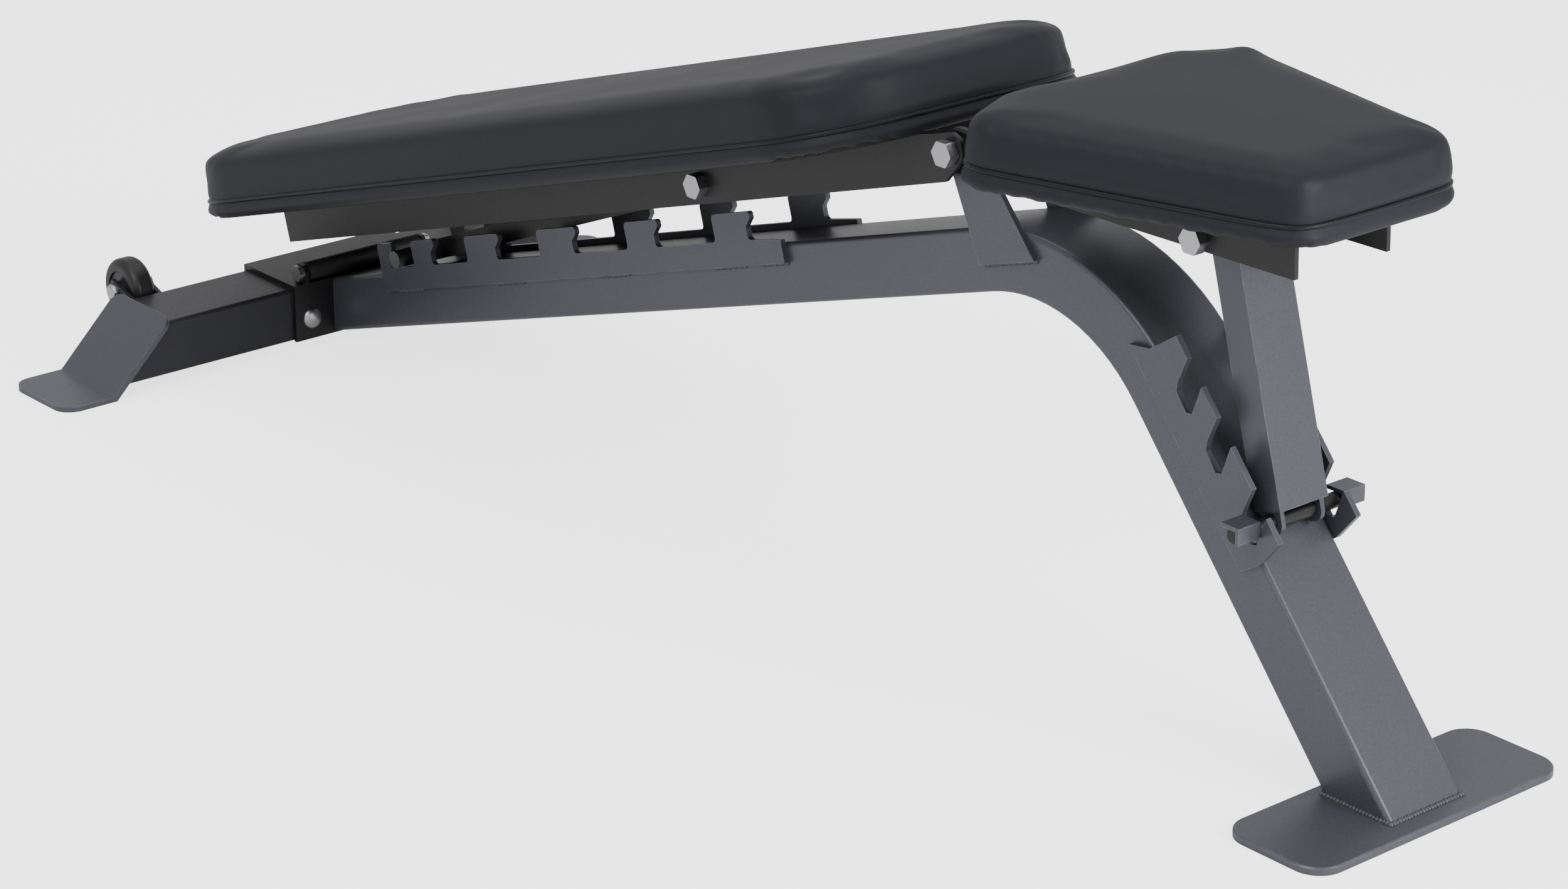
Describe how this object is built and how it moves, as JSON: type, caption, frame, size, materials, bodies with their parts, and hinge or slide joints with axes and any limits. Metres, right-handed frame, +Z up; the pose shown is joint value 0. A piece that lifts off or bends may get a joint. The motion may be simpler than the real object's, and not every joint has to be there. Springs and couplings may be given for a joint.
{
  "type": "adjustable weight bench",
  "caption": "Flat, incline and decline exercise bench: bent box-tube frame, hinged padded backrest and seat on swinging struts, rear stabiliser with wheels.",
  "frame": {"origin": "On the floor, under the middle of the bench's length and width, backrest at its lowest position and seat level.", "axes": "+X from the backrest's head end to the seat and front foot, +Y to the left of a person sitting and facing the front foot, +Z up."},
  "size_m": [1.465, 0.65, 0.4774],
  "materials": {
    "frame_paint": "graphite metallic powder coat",
    "stabiliser_paint": "dark graphite metallic powder coat",
    "rail_paint": "near-black satin powder coat",
    "sleeve_rubber": "smooth black rubber",
    "tyre": "smooth black rubber",
    "hub_plastic": "black moulded plastic",
    "vinyl": "fine-grained charcoal upholstery vinyl",
    "board": "black-stained plywood",
    "pin_steel": "turned steel",
    "bolt_zinc": "bright zinc plate"
  },
  "bodies": {
    "frame": {"comb_plate_left": "frame_paint", "comb_plate_right": "frame_paint", "front_foot_plate": "frame_paint", "hinge_axle": "bolt_zinc", "hinge_nut": "bolt_zinc", "hinge_plate_left": "frame_paint", "hinge_plate_right": "frame_paint", "hinge_spacers": "bolt_zinc", "ladder_plate_left": "frame_paint", "ladder_plate_right": "frame_paint", "main_frame": "frame_paint", "rear_cross_tube": "stabiliser_paint", "rear_foot_left": "frame_paint", "rear_foot_right": "frame_paint", "rear_saddle": "rail_paint", "saddle_bolts": "bolt_zinc", "stop_bar": "pin_steel", "stop_brackets": "rail_paint", "stop_screws": "bolt_zinc", "stop_sleeve": "sleeve_rubber", "wheel_axle_left": "bolt_zinc", "wheel_axle_right": "bolt_zinc", "wheel_bracket_left": "stabiliser_paint", "wheel_bracket_right": "stabiliser_paint"},
    "backrest": {"back_pivot_bolt": "bolt_zinc", "back_pivot_nut": "bolt_zinc", "back_pivot_spacers": "bolt_zinc", "backrest_board": "board", "backrest_cushion": "vinyl", "backrest_pad_bolts": "bolt_zinc", "backrest_rail_left": "rail_paint", "backrest_rail_right": "rail_paint", "backrest_straps": "rail_paint"},
    "backrest_strut": {"backrest_strut": "rail_paint", "strut_pin": "pin_steel"},
    "seat": {"seat_board": "board", "seat_cushion": "vinyl", "seat_pad_bolts": "bolt_zinc", "seat_pivot_bolt": "bolt_zinc", "seat_pivot_nut": "bolt_zinc", "seat_pivot_spacers": "bolt_zinc", "seat_rail_left": "rail_paint", "seat_rail_right": "rail_paint", "seat_straps": "rail_paint"},
    "seat_strut": {"catch_rod": "rail_paint", "grip_angle_left": "frame_paint", "grip_angle_right": "frame_paint", "seat_strut": "frame_paint", "strut_tongues": "frame_paint"},
    "wheel_left": {"wheel_hub_left": "hub_plastic", "wheel_tyre_left": "tyre"},
    "wheel_right": {"wheel_hub_right": "hub_plastic", "wheel_tyre_right": "tyre"}
  },
  "joints": [
    {"name": "backrest_hinge", "type": "hinge", "parent": "frame", "child": "backrest", "pos_m": [0.2673, 0, 0.39771], "axis": [0, 1, 0], "range_deg": [0, 80]},
    {"name": "backrest_strut_pivot", "type": "hinge", "parent": "backrest", "child": "backrest_strut", "pos_m": [-0.02958, 0, 0.29838], "axis": [0, 1, 0], "range_deg": [-115.5, 0]},
    {"name": "seat_hinge", "type": "hinge", "parent": "frame", "child": "seat", "pos_m": [0.2673, 0, 0.39771], "axis": [0, -1, 0], "range_deg": [0, 20.4]},
    {"name": "seat_strut_pivot", "type": "hinge", "parent": "seat", "child": "seat_strut", "pos_m": [0.51846, 0, 0.39297], "axis": [0, -1, 0], "range_deg": [-13.3, 0]},
    {"name": "wheel_left_spin", "type": "hinge", "parent": "frame", "child": "wheel_left", "pos_m": [-0.7035, 0.186, 0.058], "axis": [0, 1, 0], "continuous": true},
    {"name": "wheel_right_spin", "type": "hinge", "parent": "frame", "child": "wheel_right", "pos_m": [-0.7035, -0.186, 0.058], "axis": [0, 1, 0], "continuous": true}
  ],
  "couplings": [
    {"joint": "backrest_strut_pivot", "follows": "backrest_hinge", "ratio": -1.44},
    {"joint": "seat_strut_pivot", "follows": "seat_hinge", "ratio": -0.65}
  ]
}
